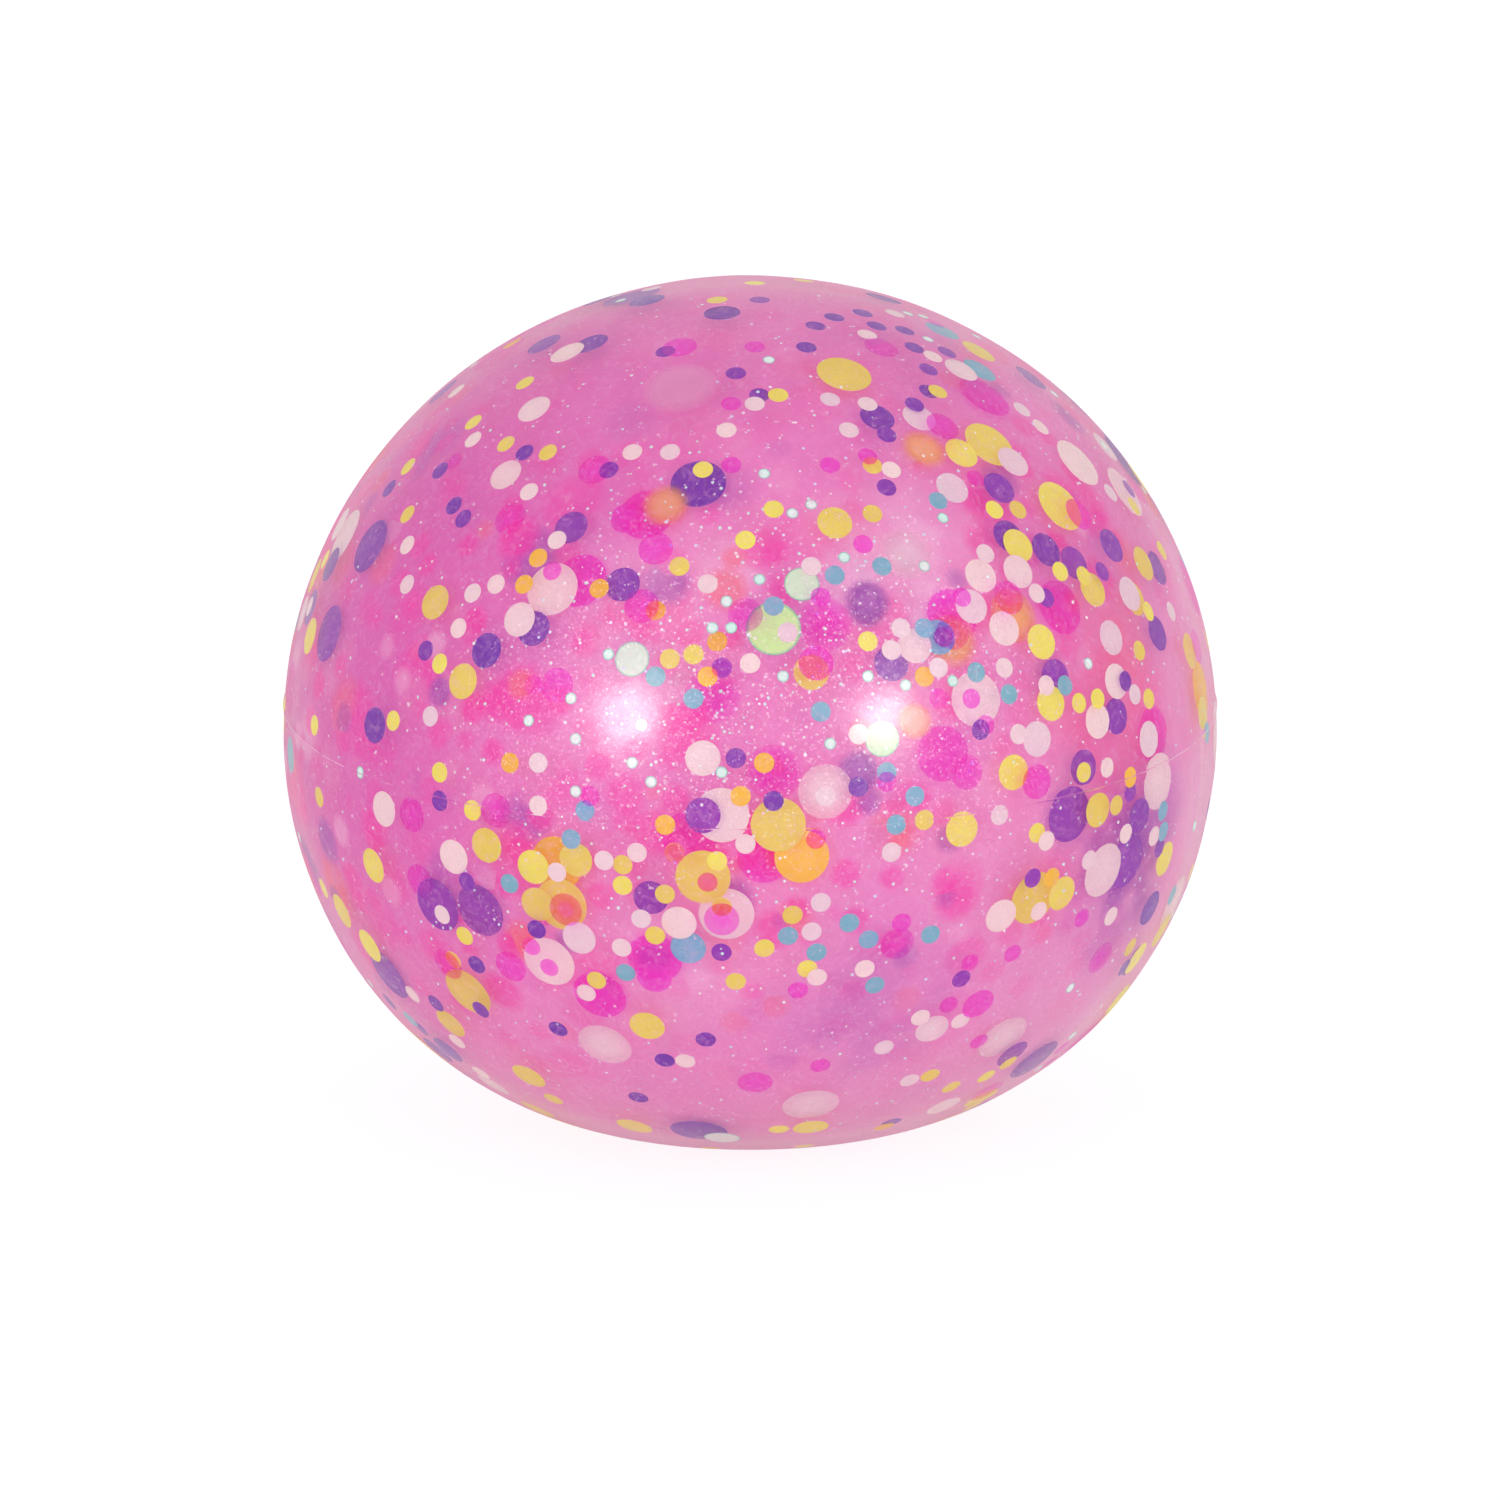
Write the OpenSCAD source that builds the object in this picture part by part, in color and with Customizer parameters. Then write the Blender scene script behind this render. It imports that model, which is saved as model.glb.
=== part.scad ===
// Glitter squeeze ball: a soft clear skin in two welded halves, a filler plug, a pink gel,
// and round glitter that floats in the gel close under the skin.
// Millimetres, +Z up. The origin is the middle of the flat that the ball rests on, and the
// front of the ball faces -Y.
// Places on the ball are [turn, rise] in degrees: turn goes from the front towards the right,
// rise goes up from the girth. Below -90 it runs inwards over the flat.

/* [Ball] */
// Width at the widest girth
ball_w = 70; // [55:1:90]
// Height of the crown above the girth
crown_h = 34; // [26:0.5:44]
// Depth of the belly below the girth
belly_h = 29.5; // [22:0.5:40]
// Radius of the flat that the ball rests on
foot_r = 8; // [4:0.5:14]

/* [Skin] */
// Thickness of the skin
skin_t = 0.7; // [0.5:0.05:1.5]
// Height of the welded seam above the girth
seam_up = 2; // [1:0.5:8]
// Height of the half lap in the seam
lap_h = 1; // [0.5:0.1:2]
// Clearance between the two halves in the lap
lap_gap = 0.06; // [0.02:0.01:0.15]
// Radius of the bead along the outside of the seam
bead_r = 0.15; // [0.1:0.01:0.3]

/* [Plug] */
// Diameter of the plug's head
plug_head_d = 6; // [5:0.1:9]
// Diameter of the plug's stem
plug_stem_d = 3.6; // [2:0.1:4.5]
// Thickness of the plug's head at its middle
plug_head_t = 0.4; // [0.3:0.05:0.45]
// Clearance round the plug
plug_gap = 0.05; // [0.02:0.01:0.15]
// Turn of the plug from the front
plug_turn = -20; // [-180:1:180]
// Rise of the plug above the girth
plug_rise = 64; // [30:1:80]

/* [Gel] */
// Gap between the skin and the gel
gel_gap = 0.15; // [0.05:0.01:0.4]

/* [Glitter] */
// Diameter of the large dots
dot_large_d = 4; // [3:0.1:5]
// Diameter of the medium dots
dot_medium_d = 2.6; // [2:0.1:3]
// Diameter of the small dots
dot_small_d = 1.5; // [1:0.1:2]
// Diameter of the flakes
flake_d = 0.9; // [0.5:0.1:1.2]
// Thickness of the glitter
dot_t = 0.05; // [0.04:0.01:0.1]
// Clearance between one dot and the next
dot_gap = 0.03; // [0.02:0.01:0.1]

/* [Hidden] */
$fn = 96;
half_w = ball_w / 2;
belly_w = half_w - foot_r;
seam_z = belly_h + seam_up;
ball_h = belly_h + crown_h;
gel_depth = skin_t + gel_gap;
// Straight pieces in each quarter of the outline
outline_steps = 40;
// How far past another solid a cut reaches
cut_past = 1;
// Angle below -90 that takes a place from the edge of the flat to its middle
foot_span = 30;

// Outline of the ball at a rise, as [radius, height]
function outline(rise) =
    rise >= 0 ? [half_w * cos(rise), belly_h + crown_h * sin(rise)] :
    rise >= -90 ? [foot_r + belly_w * cos(rise), belly_h + belly_h * sin(rise)] :
    [foot_r * (1 + (rise + 90) / foot_span), 0];

// Slope of the outward normal above level, at a rise
function lean(rise) =
    rise >= 0 ? atan2(half_w * sin(rise), crown_h * cos(rise)) :
    rise >= -90 ? atan2(belly_w * sin(rise), belly_h * cos(rise)) :
    -90;

// Point of the outline moved inwards by a depth
function inset(rise, depth) = outline(rise) - depth * [cos(lean(rise)), sin(lean(rise))];

// Half section of everything deeper than a depth
module core_section(depth) {
    steps = 2 * outline_steps;
    wall = [for (i = [0 : steps]) inset(-90 + 180 * i / steps, depth)];
    polygon(concat([[0, depth]], wall));
}

// Half section of the skin between two depths and two heights
module skin_section(outer, inner, low, high) {
    intersection() {
        difference() {
            core_section(outer);
            core_section(inner);
        }
        translate([0, low])
            square([half_w + cut_past, high - low]);
    }
}

// Puts children on the ball at a place and a depth, with +Z along the outward normal
module on_ball(place, depth) {
    at = inset(place[1], depth);
    rotate([0, 0, place[0]])
        translate([0, -at[0], at[1]])
            rotate([90 - lean(place[1]), 0, 0])
                children();
}

// Head and stem of the plug, larger all round by a gap, and long enough to reach through the skin
module plug_form(gap) {
    on_ball([plug_turn, plug_rise], 0) {
        translate([0, 0, -plug_head_t])
            cylinder(d = plug_head_d + 2 * gap, h = plug_head_t + cut_past);
        translate([0, 0, -skin_t - cut_past])
            cylinder(d = plug_stem_d + 2 * gap, h = skin_t + cut_past);
    }
}

module skin_upper() {
    color("pink", 0.4) difference() {
        rotate_extrude() {
            skin_section(0, skin_t, seam_z, ball_h);
            skin_section((skin_t + lap_gap) / 2, skin_t, seam_z - lap_h, seam_z);
        }
        plug_form(plug_gap);
    }
}

module skin_lower() {
    lip_t = (skin_t - lap_gap) / 2;
    bead_rise = asin((seam_up - bead_r) / crown_h);
    color("pink", 0.4) rotate_extrude() {
        skin_section(0, skin_t, 0, seam_z - lap_h);
        skin_section(0, lip_t, seam_z - lap_h, seam_z);
        difference() {
            translate(outline(bead_rise))
                circle(r = bead_r);
            core_section(lip_t);
        }
    }
}

module fill_plug() {
    color("thistle") intersection() {
        rotate_extrude()
            skin_section(0, skin_t, seam_z, ball_h);
        plug_form(0);
    }
}

// The glitter lies in layers, one for each colour and size. A flat dot's rim stands off the curve
// below it, so the layers are a dot, that lift and a gap apart.
tight_r = min(belly_w * belly_w / belly_h, belly_h * belly_h / belly_w) - gel_depth;
rim_lift = dot_large_d * dot_large_d / (8 * tight_r);
layer_step = dot_t + rim_lift + dot_gap;
function layer_depth(layer) = gel_depth + rim_lift + dot_gap + layer * layer_step;

// The gel is clear as deep as the glitter lies, with room for two more layers, and cloudy below that
glitter_layers = 19;
cloud_depth = layer_depth(glitter_layers + 2);

module gel() {
    color("orchid") rotate_extrude() {
        difference() {
            core_section(gel_depth);
            core_section(cloud_depth - dot_gap);
        }
        core_section(cloud_depth);
    }
}

// Front dots are spots seen in front, a little from above: [across, up] from the middle of the
// outline, in percent of its half width and half height.
front_view_rise = 16;
crown_seen = norm([crown_h * cos(front_view_rise), half_w * sin(front_view_rise)]);
belly_seen = foot_r * sin(front_view_rise)
    + norm([belly_h * cos(front_view_rise), belly_w * sin(front_view_rise)]);
// How strongly the clear skin bends the line of sight
skin_bend = 1.4;
// Farthest share of the outline at which a spot is placed
spot_limit = 0.99;

// Place of a dot that is seen at a spot and lies at a depth
function seen(spot, depth) =
    let (
        up_mm = (crown_seen + belly_seen) / 2 * spot[1] / 100 + (crown_seen - belly_seen) / 2,
        flat = [spot[0] / 100, up_mm / (up_mm > 0 ? crown_seen : belly_seen)],
        off = min(spot_limit, norm(flat)),
        outside = asin(off),
        inside = asin(off / skin_bend),
        deeper = asin(min(1, sin(inside) * half_w / (half_w - depth))),
        angle = outside + deeper - inside,
        across = flat[0] * sin(angle) / off,
        up = flat[1] * sin(angle) / off,
        near = cos(angle),
        front = near * cos(front_view_rise) - up * sin(front_view_rise),
        high = up * cos(front_view_rise) + near * sin(front_view_rise)
    )
    [atan2(across, front), asin(high)];

// Direction of a place, as a point on a unit ball
function direction(place) =
    [sin(place[0]) * cos(place[1]), -cos(place[0]) * cos(place[1]), sin(place[1])];
front_direction = direction([0, front_view_rise]);

// Rise for a share of the height of a unit ball, which goes on past -1 over the flat
foot_share = foot_r * foot_r / (2 * half_w * half_w);
function rise_at(share) =
    share >= -1 ? asin(share) : -90 - foot_span * (1 - sqrt(1 + (share + 1) / foot_share));

// How far round to the front the random dots reach, as the cosine of the angle from it
front_limit = 0.2;

// Places scattered over the sides, the back and the flat
function scatter(count, seed) =
    let (
        turns = rands(-180, 180, count, seed),
        shares = rands(-1 - foot_share, 1, count, seed + 1)
    )
    [for (i = [0 : count - 1])
        let (place = [turns[i], rise_at(shares[i])])
        if (direction(place) * front_direction < front_limit) place];

// Middle of a dot at a place and a depth
function middle(place, depth) =
    let (at = inset(place[1], depth))
    [at[0] * sin(place[0]), -at[0] * cos(place[0]), at[1]];

// Drops each place whose dot would touch one that is already kept
function thin_out(places, depth, pitch, kept = [], i = 0) =
    i >= len(places) ? kept :
    let (
        here = middle(places[i], depth),
        touching = [for (k = kept) if (norm(middle(k, depth) - here) < pitch) k]
    )
    thin_out(places, depth, pitch, len(touching) == 0 ? concat(kept, [places[i]]) : kept, i + 1);

// Random numbers that each layer keeps to itself
layer_seeds = 10;

// One layer of glitter: dots at the spots in front, and a count of dots thrown at random elsewhere
module dots(d, layer, spots, count) {
    depth = layer_depth(layer);
    in_front = [for (s = spots) seen(s, depth)];
    elsewhere = scatter(count, layer_seeds * layer + 1);
    for (place = thin_out(concat(in_front, elsewhere), depth, d + dot_gap))
        on_ball(place, depth)
            translate([0, 0, -dot_t])
                cylinder(d = d, h = dot_t);
}

module iridescent_flakes() {
    spots = [
        [2, 30], [-5, 25], [-8, 19], [-4, 19], [7, 8], [33, 6], [25, 8], [-23, -3], [-25, -11], [-6, -13],
        [-21, -15], [17, -7], [20, 35], [37, 33], [4, 80], [38, 85], [13, 47], [9, 45], [3, 54], [41, 44],
        [43, 7], [72, 11], [66, -64], [-30, 13], [-37, -6], [-37, -17], [-47, -2], [-83, -13], [-38, 3]
    ];
    color("aquamarine") dots(flake_d, 0, spots, 160);
}

module pink_dots_small() {
    spots = [
        [-4, 70], [1, 83], [17, 56], [-4, 56], [24, 38], [25, 58], [47, 3], [40, 3], [50, -3], [-42, -58],
        [-46, -53], [46, -76], [41, -67], [46, -57], [55, -55], [14, -81], [32, -47], [10, -63],
        [-63, 57], [-9, -37], [-42, 32], [-46, 6], [-6, 10], [15, 26], [45, 26], [29, -15], [-34, -18],
        [48, 53], [70, -47], [14, -27], [-16, -30]
    ];
    color("deeppink") dots(dot_small_d, 1, spots, 50);
}

module pink_dots_medium() {
    spots = [
        [-51, 44], [-41, 6], [-23, 24], [46, -13], [61, -15], [52, -13], [-50, -58], [47, -67], [1, -85],
        [-70, -38], [-72, -22], [-63, -58], [-20, -60], [-6, -46], [31, -52], [-54, -21], [28, 83],
        [-33, 55], [-26, 44], [-20, 37], [-15, 83], [-39, -44], [70, 45], [41, 65], [55, 26], [14, 11],
        [-1, 22], [43, 18], [73, -57]
    ];
    color("deeppink") dots(dot_medium_d, 2, spots, 70);
}

module pearl_dots_small() {
    spots = [
        [1, 70], [-5, 64], [17, 71], [25, 70], [21, 64], [-25, 59], [-17, 59], [30, 55], [13, 33],
        [-9, 29], [0, 11], [32, 19], [30, 14], [40, 10], [54, 10], [61, 27], [57, -5], [53, -22],
        [63, -28], [61, -45], [76, -47], [16, -18], [30, -30], [15, -42], [13, -49], [14, -60], [24, -58],
        [27, -77], [35, -70], [31, -85], [-1, -28], [-24, -30], [-23, -46], [-27, -53], [-41, -35],
        [-31, -32], [-34, -64], [-45, -11], [-45, -20], [-68, -1], [-62, 19], [-59, 27], [-54, 29],
        [-73, 29], [-47, 50], [-41, 39], [-73, 38], [-59, 62], [-65, -46], [-69, -66], [-58, -77],
        [-13, -80], [80, -27], [86, -28], [25, 86], [90, 23], [82, 4], [63, 6], [76, -12], [8, 18],
        [23, -5], [39, 81], [58, 69], [62, 65], [77, 50], [50, 36], [43, -71], [72, -33], [31, 91]
    ];
    color("mistyrose") dots(dot_small_d, 3, spots, 80);
}

module blue_dots_small() {
    spots = [
        [28, 33], [18, 31], [5, 24], [8, 24], [37, 19], [48, 9], [55, 4], [15, 0], [-12, 3], [29, -13],
        [35, -18], [31, -24], [88, -27], [21, -47], [25, -51], [14, -54], [8, -50], [38, -50], [26, -62],
        [-26, -59], [-51, -38], [-38, -27], [-35, -21], [40, 48], [-20, 8], [67, 6], [88, -22]
    ];
    color("steelblue") dots(dot_small_d, 4, spots, 40);
}

module yellow_dots_small() {
    spots = [
        [-10, 55], [6, 72], [26, 56], [26, 45], [5, 46], [-1, 39], [-15, 33], [-43, 59], [-48, 75],
        [-59, 66], [-52, 61], [-73, 56], [-73, 45], [25, 16], [-12, 13], [-17, 12], [-66, 11], [-76, -2],
        [-66, -13], [-59, -21], [-93, -3], [-92, -19], [37, -23], [9, -45], [-6, -43], [3, -53],
        [-3, -61], [12, -58], [-7, -32], [-18, -40], [-27, -38], [-27, -33], [-32, -61], [-60, -51],
        [-62, -57], [52, 46], [57, 46], [66, 32], [71, 31], [74, 3], [70, 2], [85, 23], [83, 14], [85, 3],
        [78, -20], [71, -13], [35, -84], [38, -87], [45, -85], [50, -82], [-36, -90], [5, -96], [61, -26],
        [79, -55], [82, 47], [88, 37], [40, 73], [-20, -50], [-16, -30], [-7, 94], [1, 98]
    ];
    color("khaki") dots(dot_small_d, 5, spots, 70);
}

module orange_dots_small() {
    spots = [
        [-48, 29], [-32, 28], [-7, 16], [-2, -18], [-18, -24], [3, -11], [-51, -11], [37, 8], [-45, 35],
        [81, -14], [-9, 8], [-20, 23], [64, -37]
    ];
    color("orange") dots(dot_small_d, 6, spots, 20);
}

module purple_dots_small() {
    spots = [
        [-3, 77], [12, 83], [14, 88], [18, 90], [27, 88], [33, 87], [24, 91], [2, 94], [-18, 82],
        [35, 83], [42, 82], [38, 78], [38, 73], [35, 70], [2, 72], [29, 63], [29, 51], [-30, 55],
        [-48, 59], [-66, 55], [-77, 51], [-63, 47], [-61, 44], [-69, 14], [-66, -19], [-57, -58],
        [-60, -38], [-45, -49], [-64, -68], [-55, -69], [-39, -73], [-9, -75], [-17, -80], [-21, -89],
        [-6, -54], [5, -19], [-3, -10], [41, 17], [49, -4], [23, -16], [60, -37], [44, -61], [80, 7],
        [24, -95], [87, -31], [63, 26], [81, 51], [75, 32], [77, -60], [-6, 10], [81, -17]
    ];
    color("rebeccapurple") dots(dot_small_d, 7, spots, 60);
}

module iridescent_dots_medium() {
    spots = [[28, -6], [-25, 12], [11, 29]];
    color("honeydew") dots(dot_medium_d, 8, spots, 8);
}

module pearl_dots_medium() {
    spots = [
        [-10, -10], [35, 15], [47, 24], [54, 19], [49, 31], [61, -6], [43, 51], [53, -46], [-49, 21],
        [-36, -51], [-78, -21], [-63, -32], [-46, 69], [-52, 54], [-39, 82], [45, 78], [77, 17], [78, 7],
        [74, -2], [81, 27], [36, 67], [37, -73], [56, 57], [57, 32], [-47, -88], [85, -6], [57, 51],
        [34, -92], [-15, -47]
    ];
    color("mistyrose") dots(dot_medium_d, 9, spots, 50);
}

module blue_dots_medium() {
    spots = [[-13, -53], [40, 17], [49, 78]];
    color("steelblue") dots(dot_medium_d, 10, spots, 10);
}

module yellow_dots_medium() {
    spots = [
        [45, 59], [73, 28], [62, 16], [64, 2], [13, 9], [18, 43], [-67, 25], [-61, 7], [-56, -29],
        [-46, -34], [-37, -32], [-45, -43], [-21, -72], [66, -41], [88, -34], [84, 34], [56, -13],
        [45, -25], [94, 14], [-60, -73], [-42, -85], [-79, -55], [-80, -35], [41, -91], [82, 26],
        [74, -21], [57, 38], [86, -52], [-19, -96]
    ];
    color("khaki") dots(dot_medium_d, 11, spots, 50);
}

module purple_dots_medium() {
    spots = [
        [-56, 14], [-6, 91], [-44, 84], [-34, 84], [65, 8], [78, -1], [80, -8], [55, 40], [63, 37],
        [69, 34], [53, 51], [77, 38], [-27, 29], [30, 11], [83, -23], [-10, -22], [-21, -41], [-80, -3],
        [-46, 19], [-38, 42], [27, 67], [51, -80], [-22, 94], [-94, 24], [87, 18], [71, -12], [87, 33],
        [84, -46]
    ];
    color("rebeccapurple") dots(dot_medium_d, 12, spots, 50);
}

module iridescent_dots_large() {
    spots = [[5, 19]];
    color("palegreen") dots(dot_large_d, 13, spots, 4);
}

module yellow_dots_large() {
    spots = [[20, 77], [51, 61], [66, 47], [6, -24], [-10, -36], [-40, -43], [-58, -65], [60, -42]];
    color("khaki") dots(dot_large_d, 14, spots, 26);
}

module orange_dots_large() {
    spots = [[11, -31], [-18, 47], [37, 60], [-41, -33], [43, 16], [56, 22], [35, -2], [-15, 38]];
    color("orange") dots(dot_large_d, 15, spots, 8);
}

module purple_dots_large() {
    spots = [
        [-11, 52], [68, -22], [-57, -45], [-66, -44], [25, 25], [-90, 18], [-81, 38], [-8, -97],
        [-74, -62], [80, -34], [23, -13]
    ];
    color("rebeccapurple") dots(dot_large_d, 17, spots, 22);
}

module pearl_dots_large() {
    spots = [
        [-29, -77], [-42, 28], [16, -17], [70, 57], [87, -15], [75, -36], [50, -76], [11, -91], [-42, -57],
        [48, 3], [-6, -22], [-5, -45], [33, 36]
    ];
    color("mistyrose") dots(dot_large_d, 16, spots, 22);
}

module pink_dots_large() {
    spots = [
        [3, -31], [-31, -65], [16, 20], [-8, 4], [41, -9], [5, -13], [-13, -27], [50, 72], [43, 22],
        [-22, 45], [-20, -56], [-36, 30], [66, 24], [86, -5]
    ];
    color("deeppink") dots(dot_large_d, 18, spots, 34);
}

skin_upper();
skin_lower();
fill_plug();
gel();
iridescent_flakes();
iridescent_dots_medium();
iridescent_dots_large();
pink_dots_small();
pink_dots_medium();
pink_dots_large();
pearl_dots_small();
pearl_dots_medium();
pearl_dots_large();
blue_dots_small();
blue_dots_medium();
yellow_dots_small();
yellow_dots_medium();
yellow_dots_large();
orange_dots_small();
orange_dots_large();
purple_dots_small();
purple_dots_medium();
purple_dots_large();
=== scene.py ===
"""Looks of a glitter squeeze ball: a soft clear skin over pink gel, with round glitter in the gel.

Named lengths are in metres and named angles in degrees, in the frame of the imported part: +Z up, the
front towards -Y, the origin in the middle of the flat that the ball rests on.
"""

import math
import random

import bmesh
import bpy
import numpy as np
from mathutils import Matrix, Vector, noise


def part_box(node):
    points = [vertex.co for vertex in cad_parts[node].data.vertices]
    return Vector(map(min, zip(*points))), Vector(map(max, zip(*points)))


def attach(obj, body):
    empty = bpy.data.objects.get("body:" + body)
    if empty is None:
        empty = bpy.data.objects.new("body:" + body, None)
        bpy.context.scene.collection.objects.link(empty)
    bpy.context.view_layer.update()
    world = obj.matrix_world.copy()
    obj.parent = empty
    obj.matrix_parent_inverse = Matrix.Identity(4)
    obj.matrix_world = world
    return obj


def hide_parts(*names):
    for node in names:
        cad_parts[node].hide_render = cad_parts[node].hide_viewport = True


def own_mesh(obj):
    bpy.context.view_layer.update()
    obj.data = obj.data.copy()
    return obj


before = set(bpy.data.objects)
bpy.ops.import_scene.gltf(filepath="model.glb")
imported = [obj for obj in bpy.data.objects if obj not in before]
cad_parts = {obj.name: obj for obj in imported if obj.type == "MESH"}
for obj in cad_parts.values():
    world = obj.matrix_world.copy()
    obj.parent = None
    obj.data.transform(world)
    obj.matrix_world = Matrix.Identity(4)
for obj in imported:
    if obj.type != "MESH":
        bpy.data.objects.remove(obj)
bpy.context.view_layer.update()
MM = 0.001

# Ball
HALF_W = 35 * MM
CROWN_H = 34 * MM
BELLY_H = 29.5 * MM
FOOT_R = 8 * MM
BELLY_W = HALF_W - FOOT_R
MIDDLE = Vector((0, 0, BELLY_H))

# Skin
SKIN_T = 0.7 * MM
SEAM_UP = 2 * MM
SEAM_RISE = math.degrees(math.asin(SEAM_UP / CROWN_H))
LAP_H = 1 * MM
LAP_RISE = math.degrees(math.asin(LAP_H / CROWN_H))
LAP_GAP = 0.02 * MM
LAP_PLAY = math.degrees(LAP_GAP / HALF_W)
RIDGE_OUT = 0.1 * MM
RIDGE_W = 0.35 * MM
RIDGE_LEAST = 0.2
RIDGE_POWER = 8
RIPPLE_OUT = 0.07 * MM
RIPPLE_LENGTH = 9 * MM
CREASE_OUT = 0.16 * MM
CREASE_LENGTH = 7 * MM
CREASE_SHIFT = Vector((3, 5, 7))
CREASE_FALL = 0.5 * BELLY_H
CREASE_SIDE = 0.7
FOOT_FADE = 7 * MM
FOLD_FADE = (20 * MM, 33 * MM)
FOLD_STRETCH = (1, 1, 0.15)
FOLD_OUT = 0.055 * MM
RUB_OUT = 0.008 * MM
SOFT_SHARE = 0.22
SHINE_ROUGH = ((0.19, 0.26), (0.34, 0.42))
WIDE_SHINE = 0.2
MIRROR_MOST = 0.3

# Plug
PLUG_HEAD_R = 3 * MM
PLUG_HEAD_T = 0.4 * MM
PLUG_SUNK = 0.06 * MM
PLUG_RIM = (0.6, 1.0)
PLUG_CLEAR = (0.35, 1.0)

# Gel
GEL_DEPTH = 0.85 * MM
CORE_DEPTH = 4.4 * MM
DUST_TURN = 0.5
DUST_SHARE = 0.011
WISP_RANGE = (0.48, 0.75)
WISP_MOST = 0.32
BLOT_RISE = (10 * MM, 20 * MM)
BLOT_FALL = (46 * MM, 58 * MM)
BLOT_R = (0.26, 0.44)
BLOT_LEAST = 0.2
# Share of blots kept where the gel is painted paler for the floor's light
BLOT_WHERE_PALE = 0.12
BLOT_GATHER = (0.36, 0.56)
BLOT_APART = 0.3
# Cells to the metre, and how strongly their blots tint the gel
BLOT_SIZES = ((150, 0.75), (215, 0.85), (330, 0.75))
# Painted light: the way and range over which the gel is painted paler, towards the bottom and right, for
# the white floor's light from below
FLOOR_LIGHT_WAY = (0.6, 0, -0.8)
FLOOR_LIGHT_RANGE = (-24 * MM, 4 * MM)
THICK_WAY = (-1, 0, 0.35)
THICK_RANGE = (22 * MM, 39 * MM)
DRIFT_REACH = (3 * MM, 9 * MM)
DRIFT_NOISE = (0.4, 0.6)
DRIFT_LEAST = 0.35

# Mica: a skew over 1 makes small flakes the common ones, a rarity over 1 the clear ones
MICA_COUNT = 12000
MICA_SLOT = 2
MICA_R = (0.03 * MM, 0.15 * MM)
MICA_SKEW = 1.4
MICA_T = 0.008 * MM
MICA_SIDES = 5
MICA_DEPTH = (1.6 * MM, 4.1 * MM)
MICA_TILT = 14
MICA_GATHERED = 0.22
MICA_WAY = Vector((0.03, -0.9, 0.42))
MICA_SPREAD = 0.3
MICA_FLASH = 0.03
MICA_RARITY = 2.5
MICA_CLEAR = (0.88, 0.05)

# Glitter
FILM_T = 0.05 * MM
FILM_BEVEL = 0.02 * MM
FILM_INNER = 0.55
FILM_EDGE = 0.1
FILM_VALUE = (0.95, 1.07)
FILM_WEAR = 0.12
FILM_ROUGH = (0.32, 0.46)
FILM_SINK = 0.7
FILM_SOFT_FROM = 0.2
FILM_SOFT_MOST = 2.0
RIM_PLAY = 0.045 * MM
CURL_MOST = 0.5
FADE_SKEW = 1.6
LIGHT_THROUGH = 0.9
FLASH_THROUGH = 0.1
FLASH_TURN = 0.3
FLASH_RIM = 0.8
FLASH_ROUGH = (0.26, 0.34)
FLAKE_RIM_FROM = 0.65
DOT_RIM_FROM = 0.88
DEEP_REACH = 2.5 * MM
# Places of large dots in the front, across and up in mm, with how far each sinks into the gel's pink
DEEP_DOTS = {
    "orange_dots_large": (
        (-6, 51, 0.5), (12, 54, 0.5), (12, 36, 0.75), (15, 41, 0.45), (19.5, 42, 0.4),
    ),
    "purple_dots_large": ((8.5, 44.5, 0.5), (8, 33, 0.55)),
    "pearl_dots_large": ((11.5, 47.5, 0.4), (5.5, 31.5, 0.3), (-10, 9, 0.0)),
}

# Meshes: steps along and around, how they gather at the seam, and lengths that count as nothing
AROUND = 256
SKIN_FINE = 64
SKIN_COARSE = 24
SEAM_GATHER = 1.6
GEL_STEPS = 72
PLUG_AROUND = 64
ON_AXIS = 1e-7
WELD = 0.001 * MM

# Grain of the materials, in features to the metre, and the usual reach of noise
FOLD_GRAIN = 700
SOFT_GRAIN = 420
RUB_GRAIN = 1700
PATCH_GRAIN = 160
WET_GRAIN = 300
PLUG_GRAIN = 900
DUST_GRAIN = 11000
WISP_GRAIN = 1500
CLOUD_GRAIN = 70
DRIFT_GRAIN = 240
GATHER_GRAIN = 45
WEAR_GRAIN = 900
SATIN_GRAIN = 2600
FLASH_GRAIN = 2000
FLOOR_GRAIN = 900
NOISE_MID = (0.35, 0.65)
NOISE_WIDE = (0.3, 0.7)


# Colours

def srgb(red, green, blue):
    """A colour given in screen values from 0 to 255, as linear light with full alpha."""
    parts = [c / 255 for c in (red, green, blue)]
    linear = [c / 12.92 if c <= 0.04045 else ((c + 0.055) / 1.055) ** 2.4 for c in parts]
    return (*linear, 1.0)


WHITE = (1, 1, 1, 1)
SKIN_TINT = (1, 0.97, 0.99, 1)
SHINE_TINT = (0.82, 0.8, 0.69, 1)
WET_TINT = (1, 0.985, 0.993, 1)
PLUG_PINKS = (srgb(230, 142, 196), srgb(238, 156, 204))
PLUG_TINT = (1, 0.99, 0.995, 1)
DUST_TINT = (1, 0.93, 0.98, 1)
MILK = srgb(250, 176, 222)
CLOUD_PINKS = (srgb(234, 118, 192), srgb(242, 136, 202))
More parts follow.
